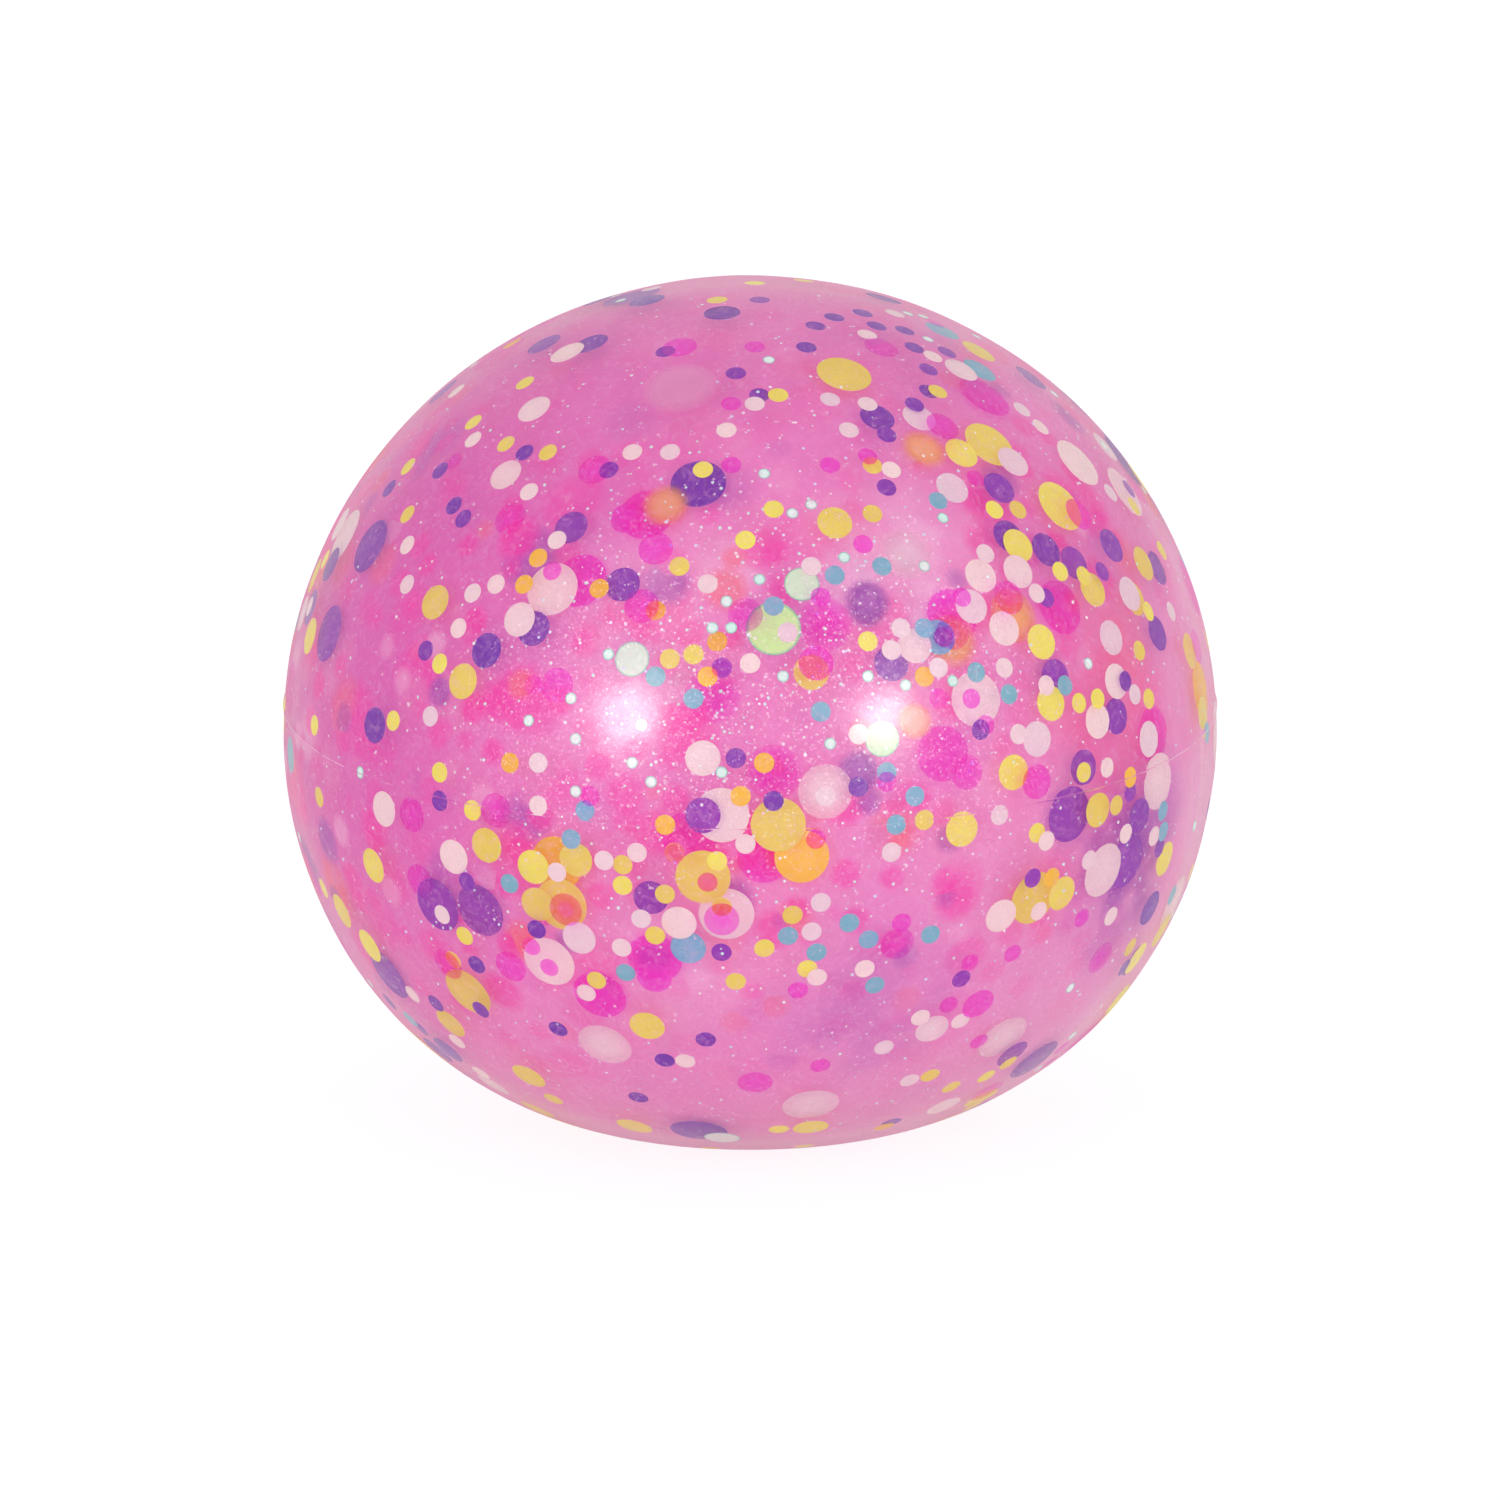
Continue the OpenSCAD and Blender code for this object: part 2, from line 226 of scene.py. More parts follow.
# Painted light: the paler pink of the side lit by the white floor
FLOOR_LIT_PINK = srgb(238, 156, 206)
THICK_PINK = srgb(226, 96, 184)
GEL_PINK = srgb(232, 122, 190)
HOT_PINK = srgb(247, 44, 172)
CORAL = srgb(247, 100, 128)
VIOLET = srgb(168, 66, 178)
PALE_PINK = srgb(250, 196, 228)
BLOT_PALE = srgb(246, 172, 216)
WEAR_TINT = (0.6, 0.55, 0.6, 1)
RIM_TEAL = srgb(92, 184, 166)
FLASH_TINT = srgb(240, 235, 245)
FLOOR_WHITES = ((0.9, 0.9, 0.9, 1), (0.93, 0.93, 0.93, 1))
BLOT_STOPS = ((0.0, HOT_PINK), (0.6, CORAL), (0.68, VIOLET), (0.76, BLOT_PALE), (0.84, GEL_PINK))
# Drifts of glitter too deep to be seen sharply, and one painted highlight, a pale glow of lamp light (the
# pale pink high on the front right): middle in mm, shade, and how strongly it tints the gel
GEL_DRIFTS_AND_GLOW = (
    ((26.5, -15, 25), VIOLET, 0.95),
    ((8, -26.5, 15), VIOLET, 0.35),
    ((25, -16.5, 34), HOT_PINK, 0.4),
    ((26, -15, 36), CORAL, 0.4),
    # Painted highlight: this pale pink drift is a glow of lamp light, not deep glitter
    ((11, -22, 47), PALE_PINK, 0.75),
    ((-8, -24, 45.5), PALE_PINK, 0.35),
    ((-8, -28, 19.5), PALE_PINK, 0.35),
)
# Films: colour, how see-through, tint of light through it, range of hues, and how far dots sink
FILMS = {
    "pink": ((1.0, 0.1, 0.75, 1), 0.88, (1.0, 0.5, 0.97, 1), (0.49, 0.51), 0.55),
    "pearl": (srgb(245, 216, 219), 0.02, (1, 0.9, 0.95, 1), (0.45, 0.53), 0.45),
    "blue": (srgb(122, 174, 204), 0.02, (0.8, 0.9, 0.95, 1), (0.47, 0.51), 0.3),
    "yellow": (srgb(242, 214, 94), 0.02, (1, 0.85, 0.7, 1), (0.495, 0.528), 0.25),
    "orange": (srgb(248, 184, 54), 0.02, (1, 0.8, 0.6, 1), (0.49, 0.51), 0.25),
    "purple": (srgb(138, 38, 178), 0.02, (0.8, 0.6, 0.9, 1), (0.475, 0.52), 0.4),
}
# Sizes of dots: steps around the rim, and the share of the deepest sink that they reach
DOT_SIZES = {"small": (24, 0.4), "medium": (28, 0.7), "large": (36, 1.0)}


# Shapes

def outline(rise):
    """Radius and height of the outside of the ball at a rise in degrees above the girth."""
    a = math.radians(rise)
    if rise >= 0:
        return HALF_W * math.cos(a), BELLY_H + CROWN_H * math.sin(a)
    return FOOT_R + BELLY_W * math.cos(a), BELLY_H + BELLY_H * math.sin(a)


def lean(rise):
    """Slope of the outward normal above level at a rise."""
    a = math.radians(rise)
    if rise >= 0:
        return math.atan2(HALF_W * math.sin(a), CROWN_H * math.cos(a))
    return math.atan2(BELLY_W * math.sin(a), BELLY_H * math.cos(a))


def inset(rise, depth):
    """Radius and height of a point at a depth below the outside."""
    r, z = outline(rise)
    n = lean(rise)
    return max(0.0, r - depth * math.cos(n)), z - depth * math.sin(n)


def swung(r, z, turn):
    """The point of a section at a turn from the front."""
    return Vector((r * math.sin(turn), -r * math.cos(turn), z))


def pointing(turn, lift):
    """A direction at a turn from the front and a lift above level."""
    return Vector((math.cos(lift) * math.sin(turn), -math.cos(lift) * math.cos(turn), math.sin(lift)))


def smooth_step(value):
    t = min(1.0, max(0.0, value))
    return t * t * (3 - 2 * t)


def shaped(p):
    """A point of the outside, moved by the skin's unevenness and by the ridge of the seam."""
    out = (p - MIDDLE).normalized()
    above_foot = smooth_step(p.z / FOOT_FADE)
    side = abs(math.sin(math.atan2(p.x, -p.y)))
    seam_z = outline(SEAM_RISE)[1]
    strength = RIDGE_LEAST + (1 - RIDGE_LEAST) * side ** RIDGE_POWER
    ridge = RIDGE_OUT * strength * math.exp(-((p.z - seam_z) / RIDGE_W) ** 2)
    ripple = RIPPLE_OUT * noise.noise(p / RIPPLE_LENGTH)
    low = smooth_step((BELLY_H - p.z) / CREASE_FALL) * smooth_step(out.x / CREASE_SIDE)
    crease = CREASE_OUT * low * noise.noise(p / CREASE_LENGTH + CREASE_SHIFT)
    return p + out * (ridge + above_foot * (ripple + crease))


def wall(start, end, depth, steps, gather=1.0):
    """Section points from one rise to another at a depth. A gather over 1 packs them near the start."""
    return [inset(start + (end - start) * (i / steps) ** gather, depth) for i in range(steps + 1)]


def bridge(bm, a, b, around, slot=0):
    """Smooth faces between two rings of points, of which one may be a single point."""
    for k in range(around):
        m = k + 1
        corners = [a[k % len(a)], a[m % len(a)], b[m % len(b)], b[k % len(b)]]
        face = bm.faces.new(list(dict.fromkeys(corners)))
        face.material_index = slot
        face.smooth = True


def revolve(bm, section, slots, uneven=0):
    """Turns a half section that starts and ends on the axis into a closed surface.

    So many of its first points as uneven says follow the unevenness of the skin's outside.
    """
    rings = []
    for i, (r, z) in enumerate(section):
        turns = [2 * math.pi * k / AROUND for k in range(AROUND if r > ON_AXIS else 1)]
        ring = [swung(r, z, turn) for turn in turns]
        rings.append([bm.verts.new(shaped(p) if i < uneven else p) for p in ring])
    for a, b, slot in zip(rings, rings[1:], slots):
        bridge(bm, a, b, AROUND, slot)


def finished(name, bm, materials, body, slot, *nodes):
    """Makes a piece that stands for CAD nodes, rides on a body and flattens with the squeeze."""
    bmesh.ops.recalc_face_normals(bm, faces=bm.faces)
    mesh = bpy.data.meshes.new(name)
    bm.to_mesh(mesh)
    bm.free()
    for material in materials:
        mesh.materials.append(material)
    piece = bpy.data.objects.new(name, mesh)
    bpy.context.scene.collection.objects.link(piece)
    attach(piece, body)
    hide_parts(*nodes)
    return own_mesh(piece)


# Materials

def new_material(name):
    material = bpy.data.materials.new(name)
    material.use_nodes = True
    material.node_tree.nodes.clear()
    return material, material.node_tree


def add(tree, kind, values=None, **settings):
    """Adds a node with these settings. Its inputs take plain values or other nodes' outputs."""
    made = tree.nodes.new("ShaderNode" + kind)
    for key, value in settings.items():
        setattr(made, key, value)
    for key, value in (values or {}).items():
        if isinstance(value, bpy.types.NodeSocket):
            tree.links.new(value, made.inputs[key])
        else:
            made.inputs[key].default_value = value
    return made


def mixed(tree, share, a, b, how="MIX"):
    """Colour a changed into colour b by a share."""
    return add(tree, "Mix", {0: share, 6: a, 7: b}, data_type="RGBA", blend_type=how).outputs[2]


def spread(tree, value, low, high, to_low, to_high, how="LINEAR"):
    """A value from one range as a value in another, held at the ends."""
    values = {"Value": value, "From Min": low, "From Max": high, "To Min": to_low, "To Max": to_high}
    return add(tree, "MapRange", values, interpolation_type=how).outputs[0]


def maths(tree, how, a, b):
    return add(tree, "Math", {0: a, 1: b}, operation=how, use_clamp=True).outputs[0]


def grain(tree, scale, detail=2.0):
    """Noise with that many features to the metre."""
    place = add(tree, "TexCoord").outputs["Object"]
    return add(tree, "TexNoise", {"Vector": place, "Scale": scale, "Detail": detail}).outputs["Fac"]


def attribute(tree, name):
    return add(tree, "Attribute", attribute_name=name).outputs["Fac"]


def bump(tree, height, distance, over=None):
    """A normal that follows a height, on top of another normal if there is one."""
    values = {"Height": height, "Distance": distance}
    if over:
        values["Normal"] = over
    return add(tree, "Bump", values).outputs["Normal"]


def shader_mix(tree, share, a, b):
    return add(tree, "MixShader", {0: share, 1: a, 2: b}).outputs[0]


def clear(tree, colour):
    return add(tree, "BsdfTransparent", {"Color": colour}).outputs[0]


def done(tree, shader):
    add(tree, "OutputMaterial", {"Surface": shader})


def shades_of(tree, value, stops, how="LINEAR"):
    """A colour picked by a value from stops of (position, colour), in rising order from 0."""
    ramp = add(tree, "ValToRGB", {"Fac": value})
    ramp.color_ramp.interpolation = how
    elements = ramp.color_ramp.elements
    elements.remove(elements[1])
    elements[0].color = stops[0][1]
    for position, colour in stops[1:]:
        elements.new(position).color = colour
    return ramp.outputs["Color"]


def clear_skin():
    """Soft clear rubber: it bends the view of what floats below it and shines softly."""
    material, tree = new_material("clear_skin")
    place = add(tree, "TexCoord").outputs["Object"]
    along = add(tree, "VectorMath", {0: place, 1: FOLD_STRETCH}, operation="MULTIPLY").outputs[0]
    folds = add(tree, "TexNoise", {"Vector": along, "Scale": FOLD_GRAIN, "Detail": 3}).outputs["Fac"]
    right = spread(tree, add(tree, "SeparateXYZ", {"Vector": place}).outputs["X"], *FOLD_FADE, 0.0, 1.0)
    soft = maths(tree, "MULTIPLY", grain(tree, SOFT_GRAIN), SOFT_SHARE)
    normal = bump(tree, maths(tree, "ADD", maths(tree, "MULTIPLY", folds, right), soft), FOLD_OUT)
    rubbed = bump(tree, grain(tree, RUB_GRAIN, 4.0), RUB_OUT, normal)
    patchy = grain(tree, PATCH_GRAIN)
    shines = []
    for roughness in SHINE_ROUGH:
        rough = spread(tree, patchy, *NOISE_MID, *roughness)
        values = {"Color": SHINE_TINT, "Roughness": rough, "Normal": rubbed}
        shines.append(add(tree, "BsdfGlossy", values).outputs[0])
    shine = shader_mix(tree, WIDE_SHINE, *shines)
    see = {"Color": SKIN_TINT, "Roughness": 0.03, "IOR": 1.4, "Normal": normal}
    through = add(tree, "BsdfRefraction", see)
    edge = add(tree, "Fresnel", {"IOR": 1.36, "Normal": normal}).outputs[0]
    mirror = maths(tree, "MINIMUM", edge, MIRROR_MOST)
    outside = shader_mix(tree, mirror, through.outputs[0], shine)
    behind = add(tree, "NewGeometry").outputs["Backfacing"]
    done(tree, shader_mix(tree, behind, outside, clear(tree, WHITE)))
    return material


def inner_skin():
    """Inside of the skin, wetted by the gel, so that it is all but unseen."""
    material, tree = new_material("inner_skin")
    done(tree, clear(tree, mixed(tree, grain(tree, WET_GRAIN), WHITE, WET_TINT)))
    return material


def plug_rubber():
    """Paler clouded rubber, thinner towards its rim."""
    material, tree = new_material("plug_rubber")
    colour = mixed(tree, grain(tree, PLUG_GRAIN), *PLUG_PINKS)
    solid = add(tree, "BsdfPrincipled", {"Base Color": colour, "Roughness": 0.5, "IOR": 1.2})
    share = spread(tree, attribute(tree, "radial"), *PLUG_RIM, *PLUG_CLEAR)
    done(tree, shader_mix(tree, share, solid.outputs[0], clear(tree, PLUG_TINT)))
    return material


def gel_veil():
    """Outer face of the gel: clear, with milky wisps and mica dust, each grain facing its own way."""
    material, tree = new_material("gel_veil")
    place = add(tree, "TexCoord").outputs["Object"]
    grains = add(tree, "TexVoronoi", {"Vector": place, "Scale": DUST_GRAIN}).outputs["Color"]
    aside = add(tree, "VectorMath", {0: grains, 1: (0.5, 0.5, 0.5)}, operation="SUBTRACT").outputs[0]
    turned = add(tree, "VectorMath", {0: aside, "Scale": DUST_TURN}, operation="SCALE").outputs[0]
    facing = add(tree, "NewGeometry").outputs["Normal"]
    normal = add(tree, "VectorMath", {0: facing, 1: turned}, operation="ADD").outputs[0]
    normal = add(tree, "VectorMath", {0: normal}, operation="NORMALIZE").outputs[0]
    values = {"Color": DUST_TINT, "Roughness": 0.24, "Normal": normal}
    dust = add(tree, "BsdfGlossy", values).outputs[0]
    streaky = {"Vector": place, "Scale": WISP_GRAIN, "Detail": 6, "Roughness": 0.7, "Distortion": 1.2}
    wisps = add(tree, "TexNoise", streaky).outputs["Fac"]
    milk = add(tree, "BsdfDiffuse", {"Color": MILK}).outputs[0]
    hazy = shader_mix(tree, spread(tree, wisps, *WISP_RANGE, 0.0, WISP_MOST), clear(tree, WHITE), milk)
    done(tree, shader_mix(tree, DUST_SHARE, hazy, dust))
    return material


def share_along(tree, way, reach):
    """How far a place lies along a way in the gel, from 0 to 1."""
    place = add(tree, "TexCoord").outputs["Object"]
    along = add(tree, "VectorMath", {0: place, 1: way}, operation="DOT_PRODUCT").outputs["Value"]
    return spread(tree, along, *reach, 0.0, 1.0)


def floor_light_paleness(tree):
    """Painted light: how much paler the gel is painted towards the bottom and right, from 0 to 1 at its
    palest side, for the white floor's light from below.
    """
    return share_along(tree, FLOOR_LIGHT_WAY, FLOOR_LIGHT_RANGE)


def drifts(tree, colour):
    """A colour tinted by the soft drifts of deep glitter, and by one painted glow of lamp light."""
    place = add(tree, "TexCoord").outputs["Object"]
    patchy = spread(tree, grain(tree, DRIFT_GRAIN), *DRIFT_NOISE, DRIFT_LEAST, 1.0)
    for middle, shade, strength in GEL_DRIFTS_AND_GLOW:
        spot = {0: place, 1: Vector(middle) * MM}
        away = add(tree, "VectorMath", spot, operation="DISTANCE").outputs["Value"]
        share = maths(tree, "MULTIPLY", spread(tree, away, *DRIFT_REACH, strength, 0.0), patchy)
        colour = mixed(tree, share, colour, shade)
    return colour


def blots(tree, colour, scale, strength):
    """A colour with soft round blots, each in a shade of its own, gathered in drifts."""
    place = add(tree, "TexCoord").outputs["Object"]
    cells = add(tree, "TexVoronoi", {"Vector": place, "Scale": scale})
    share = spread(tree, cells.outputs["Distance"], *BLOT_R, strength, 0.0)
    level = add(tree, "SeparateXYZ", {"Vector": place}).outputs["Z"]
    share = maths(tree, "MULTIPLY", share, spread(tree, level, *BLOT_RISE, BLOT_LEAST, 1.0))
    share = maths(tree, "MULTIPLY", share, spread(tree, level, *BLOT_FALL, 1.0, BLOT_LEAST))
    gathered = spread(tree, grain(tree, GATHER_GRAIN), *BLOT_GATHER, BLOT_APART, 1.0)
    share = maths(tree, "MULTIPLY", share, gathered)
    # Fewer blots where the gel is painted paler for the floor's light
    share = maths(tree, "MULTIPLY", share, spread(tree, floor_light_paleness(tree), 0.0, 1.0, 1.0, BLOT_WHERE_PALE))
    pick = add(tree, "SeparateColor", {"Color": cells.outputs["Color"]}).outputs[0]
    return mixed(tree, share, colour, shades_of(tree, pick, BLOT_STOPS, "CONSTANT"))


def gel_core():
    """Depth of the gel: cloudy pink with the blurred shades of glitter too deep to be seen sharply, with
    painted light: paler low down for the white floor's light, and one glow of lamp light.
    """
    material, tree = new_material("gel_core")
    cloud = spread(tree, grain(tree, CLOUD_GRAIN, 3.0), *NOISE_MID, 0.0, 1.0)
    pink = mixed(tree, cloud, *CLOUD_PINKS)
    # Painted light: paler pink towards the bottom and right, for the white floor's light from below
    pink = mixed(tree, floor_light_paleness(tree), pink, FLOOR_LIT_PINK)
    pink = mixed(tree, share_along(tree, THICK_WAY, THICK_RANGE), pink, THICK_PINK)
    for scale, strength in BLOT_SIZES:
        pink = blots(tree, pink, scale, strength)
    pink = drifts(tree, pink)
    body = add(tree, "BsdfPrincipled", {"Base Color": pink, "Roughness": 0.55, "IOR": 1.2})
    done(tree, body.outputs[0])
    return material


def unless_lighting(tree, share):
    """How clear a film is: all but clear to light on its way, because the gel scatters light round it."""
    path = add(tree, "LightPath")
    lighting = maths(tree, "MAXIMUM", path.outputs["Is Shadow Ray"], path.outputs["Is Diffuse Ray"])
    return maths(tree, "MAXIMUM", share, maths(tree, "MULTIPLY", lighting, LIGHT_THROUGH))


def gel_mica():
    """Fine pearl flakes: pale specks that flash where they catch a lamp."""
    material, tree = new_material("gel_mica")
    tone = attribute(tree, "tone")
    tint = shades_of(tree, tone, [(0.0, srgb(255, 255, 255)), (0.5, srgb(255, 225, 245)),
                                  (0.75, srgb(190, 250, 235)), (1.0, srgb(225, 205, 255))])
    flash = add(tree, "BsdfGlossy", {"Color": tint, "Roughness": 0.22}).outputs[0]
    pale = shades_of(tree, tone, [(0.0, srgb(250, 214, 238)), (0.7, srgb(252, 226, 242)),
                                  (0.8, srgb(255, 255, 255)), (0.9, srgb(205, 252, 236)),
                                  (1.0, srgb(228, 216, 255))])
    speck = shader_mix(tree, MICA_FLASH, add(tree, "BsdfDiffuse", {"Color": pale}).outputs[0], flash)
    plain = spread(tree, maths(tree, "POWER", tone, MICA_RARITY), 0.0, 1.0, *MICA_CLEAR)
    share = unless_lighting(tree, plain)
    done(tree, shader_mix(tree, share, speck, clear(tree, WHITE)))
    return material


def film(name, colour, see_through, tint, hues):
    """Punched film glitter: its hue drifts from dot to dot, and deep dots sink into the gel's pink."""
    material, tree = new_material(name)
    tone, fade, radial = (attribute(tree, a) for a in ("tone", "fade", "radial"))
    hue = spread(tree, tone, 0.0, 1.0, *hues)
    value = spread(tree, tone, 0.0, 1.0, *FILM_VALUE)
    varied = add(tree, "HueSaturation", {"Hue": hue, "Value": value, "Color": colour}).outputs[0]
    worn = spread(tree, grain(tree, WEAR_GRAIN), *NOISE_WIDE, 0.0, FILM_WEAR)
    mottled = mixed(tree, worn, varied, WEAR_TINT, "MULTIPLY")
    sunk = mixed(tree, maths(tree, "MULTIPLY", fade, FILM_SINK), mottled, GEL_PINK)
    rough = spread(tree, grain(tree, SATIN_GRAIN), *NOISE_WIDE, *FILM_ROUGH)
    solid = add(tree, "BsdfPrincipled", {"Base Color": sunk, "Roughness": rough, "IOR": 1.25})
    rim = spread(tree, radial, FILM_SOFT_FROM, 1.0, 0.0, FILM_SOFT_MOST, "SMOOTHSTEP")
    soft = maths(tree, "MULTIPLY", fade, rim)
    share = unless_lighting(tree, maths(tree, "ADD", soft, see_through))
    through = clear(tree, mixed(tree, soft, tint, WHITE))
    done(tree, shader_mix(tree, share, solid.outputs[0], through))
    return material


def iridescent(name, rim_from):
    """Film that flashes green and white as it turns, with a teal rim from a share of its radius."""
    material, tree = new_material(name)
    turn = add(tree, "LayerWeight", {"Blend": 0.35}).outputs["Facing"]
    shift = maths(tree, "ADD", attribute(tree, "tone"), maths(tree, "MULTIPLY", turn, FLASH_TURN))
    tint = shades_of(tree, shift, [(0.0, srgb(216, 255, 164)), (0.25, srgb(206, 252, 190)),
                                   (0.5, srgb(230, 236, 230)), (0.6, srgb(246, 255, 252)),
                                   (0.8, srgb(214, 255, 240)), (1.0, srgb(245, 205, 240))])
    rim = spread(tree, attribute(tree, "radial"), rim_from, 1.0, 0.0, FLASH_RIM)
    tint = mixed(tree, rim, tint, RIM_TEAL)
    rough = spread(tree, grain(tree, FLASH_GRAIN), *NOISE_WIDE, *FLASH_ROUGH)
    values = {"Base Color": tint, "Roughness": rough, "IOR": 1.12}
    solid = add(tree, "BsdfPrincipled", values).outputs[0]
    share = unless_lighting(tree, FLASH_THROUGH)
    done(tree, shader_mix(tree, share, solid, clear(tree, FLASH_TINT)))
    return material


# Pieces

def skin_pieces():
    """The two halves of the skin, which meet in a half lap at the seam."""
    outside, inside = clear_skin(), inner_skin()
    shift = SEAM_RISE - LAP_RISE
    upper = bmesh.new()
    outer = wall(SEAM_RISE, 90, 0, SKIN_FINE, SEAM_GATHER)[::-1]
    lap = [inset(SEAM_RISE, SKIN_T / 2), inset(shift, SKIN_T / 2)]
    inner = wall(shift, 90, SKIN_T, SKIN_COARSE)
    slots = [0] * SKIN_FINE + [1] * (len(lap) + len(inner))
    revolve(upper, outer + lap + inner, slots, len(outer))
    finished("upper_skin", upper, [outside, inside], "crown", "skin", "skin_upper")

    lower = bmesh.new()
    flat = [(0.0, 0.0), (FOOT_R / 2, 0.0)]
    outer = wall(SEAM_RISE - LAP_PLAY, -90, 0, SKIN_FINE, SEAM_GATHER)[::-1]
    lap = [inset(rise - LAP_PLAY, SKIN_T / 2 - LAP_GAP) for rise in (SEAM_RISE, shift)]
    inner = wall(shift - LAP_PLAY, -90, SKIN_T, SKIN_COARSE) + [(0.0, SKIN_T)]
    slots = [0] * (len(flat) + SKIN_FINE) + [1] * (len(lap) + len(inner))
    revolve(lower, flat + outer + lap + inner, slots, len(flat + outer))
    finished("lower_skin", lower, [outside, inside], "base", "skin", "skin_lower")


def disc_at(bm, centre, normal, radius, thick, draw, around, marks):
    """A thin round film with a bevelled rim on the ball's curve, tilted and curled a little."""
    side = normal.orthogonal().normalized()
    frame_of = Matrix((side, normal.cross(side), normal)).transposed()
    tilt, heading = RIM_PLAY / radius * draw.uniform(0, 1), draw.uniform(0, 2 * math.pi)
    curl, curl_way = draw.uniform(-CURL_MOST, CURL_MOST) * RIM_PLAY, draw.uniform(0, math.pi)
    layers = [bm.verts.layers.float[name] for name in ("radial", "tone", "fade")]
    bevel = FILM_BEVEL / radius
    top = [(0.0, 0.5), (FILM_INNER, 0.5), (1 - 2 * bevel, 0.5), (1 - bevel, 0.5), (1.0, FILM_EDGE)]
    below = [(1.0, -FILM_EDGE), (1 - bevel, -0.5), (1 - 2 * bevel, -0.5), (0.0, -0.5)]
    made = []
    for share, level in top + below:
        ring = []
        for k in range(around if share else 1):
            a = 2 * math.pi * k / around
            x, y = share * radius * math.cos(a), share * radius * math.sin(a)
            z = level * thick - (x * x + y * y) / (2 * HALF_W)
            z += tilt * (x * math.cos(heading) + y * math.sin(heading))
            z += curl * (share * math.cos(a - curl_way)) ** 2
            vert = bm.verts.new(centre + frame_of @ Vector((x, y, z)))
            for layer, mark in zip(layers, (share, *marks)):
                vert[layer] = mark
            ring.append(vert)
        made.append(ring)
    for a, b in zip(made, made[1:]):
        bridge(bm, a, b, around)


def marked_mesh():
    bm = bmesh.new()
    for name in ("radial", "tone", "fade"):
        bm.verts.layers.float.new(name)
    return bm


def solids_of(node):
    """The corners of each separate solid of a CAD node, one array for each."""
    bm = bmesh.new()
    bm.from_mesh(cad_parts[node].data)
    bmesh.ops.remove_doubles(bm, verts=bm.verts, dist=WELD)
    left = set(bm.verts)
    found = []
    while left:
        front = [left.pop()]
        island = []
        while front:
            vert = front.pop()
            island.append(tuple(vert.co))
            for edge in vert.link_edges:
                other = edge.other_vert(vert)
                if other in left:
                    left.remove(other)
                    front.append(other)
        found.append(np.array(sorted(island)))
    bm.free()
    return sorted(found, key=lambda corners: tuple(corners[0]))


def disc_of(corners):
    """Middle, outward normal and radius of a flat round solid."""
    centre = corners.mean(0)
    normal = Vector(np.linalg.svd(corners - centre)[2][2])
    place = Vector(centre)
    if normal.dot(place - MIDDLE) < 0:
        normal = -normal
    return place, normal, float(np.linalg.norm(corners - centre, axis=1).max())


def plug():
    """The head of the filler plug, a little below the outside of the skin."""
    bm = marked_mesh()
    low, high = (Vector(c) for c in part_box("fill_plug"))
    out = ((low + high) / 2 - MIDDLE).normalized()
    rise = math.degrees(math.atan2(out.z / CROWN_H, math.hypot(out.x, out.y) / HALF_W))
    turn = math.atan2(out.x, -out.y)
    centre = swung(*inset(rise, PLUG_SUNK + PLUG_HEAD_T / 2), turn)
    normal = pointing(turn, lean(rise))
    draw = random.Random("plug")
    disc_at(bm, centre, normal, PLUG_HEAD_R, PLUG_HEAD_T, draw, PLUG_AROUND, (0.5, 0.0))
    finished("filler_plug", bm, [plug_rubber()], "crown", "plug", "fill_plug")


def gel():
    """The gel: its clear outer face, the cloudy depth, and fine mica between them."""
    bm = marked_mesh()
    for slot, depth in ((0, GEL_DEPTH), (1, CORE_DEPTH)):
        section = [(0.0, depth)] + wall(-90, 90, depth, GEL_STEPS)
        revolve(bm, section, [slot] * (GEL_STEPS + 1))
    draw = random.Random("mica")
    for _ in range(MICA_COUNT):
        out = Vector((draw.gauss(0, 1), draw.gauss(0, 1), draw.gauss(0, 1)))
        out = (MICA_WAY + MICA_SPREAD * out if draw.random() < MICA_GATHERED else out).normalized()
        rise = math.degrees(math.asin(out.z))
        turn = math.atan2(out.x, -out.y)
        centre = swung(*inset(rise, draw.uniform(*MICA_DEPTH)), turn)
        lift = lean(rise) + math.radians(draw.uniform(-MICA_TILT, MICA_TILT))
        swing = turn + math.radians(draw.uniform(-MICA_TILT, MICA_TILT))
        small, big = MICA_R
        radius = small + (big - small) * draw.random() ** MICA_SKEW
        flake_at(bm, centre, pointing(swing, lift), radius, draw)
    finished("gel_filling", bm, [gel_veil(), gel_core(), gel_mica()], "filling", "gel", "gel")


def flake_at(bm, centre, normal, radius, draw):
    """A flake of mica: a flat lens with straight sides."""
    side = normal.orthogonal().normalized()
    across = normal.cross(side)
    start = draw.uniform(0, math.pi)
    angles = [start + 2 * math.pi * k / MICA_SIDES for k in range(MICA_SIDES)]
    rim = [bm.verts.new(centre + radius * (side * math.cos(a) + across * math.sin(a))) for a in angles]
    tips = [bm.verts.new(centre + normal * MICA_T * way) for way in (1, -1)]
    tone, shade = bm.verts.layers.float["tone"], draw.random()
    for vert in rim + tips:
        vert[tone] = shade
    for tip in tips:
        for k in range(MICA_SIDES):
            bm.faces.new((rim[k - 1], rim[k], tip)).material_index = MICA_SLOT


def sunk_at(node, place, sunk):
    """How far a dot sinks into the gel's pink: as drawn, or as set for a place near it in the front."""
    for x, z, deep in DEEP_DOTS.get(node, ()):
        if place.y < 0 and max(abs(place.x - x * MM), abs(place.z - z * MM)) < DEEP_REACH:
            return deep
    return sunk


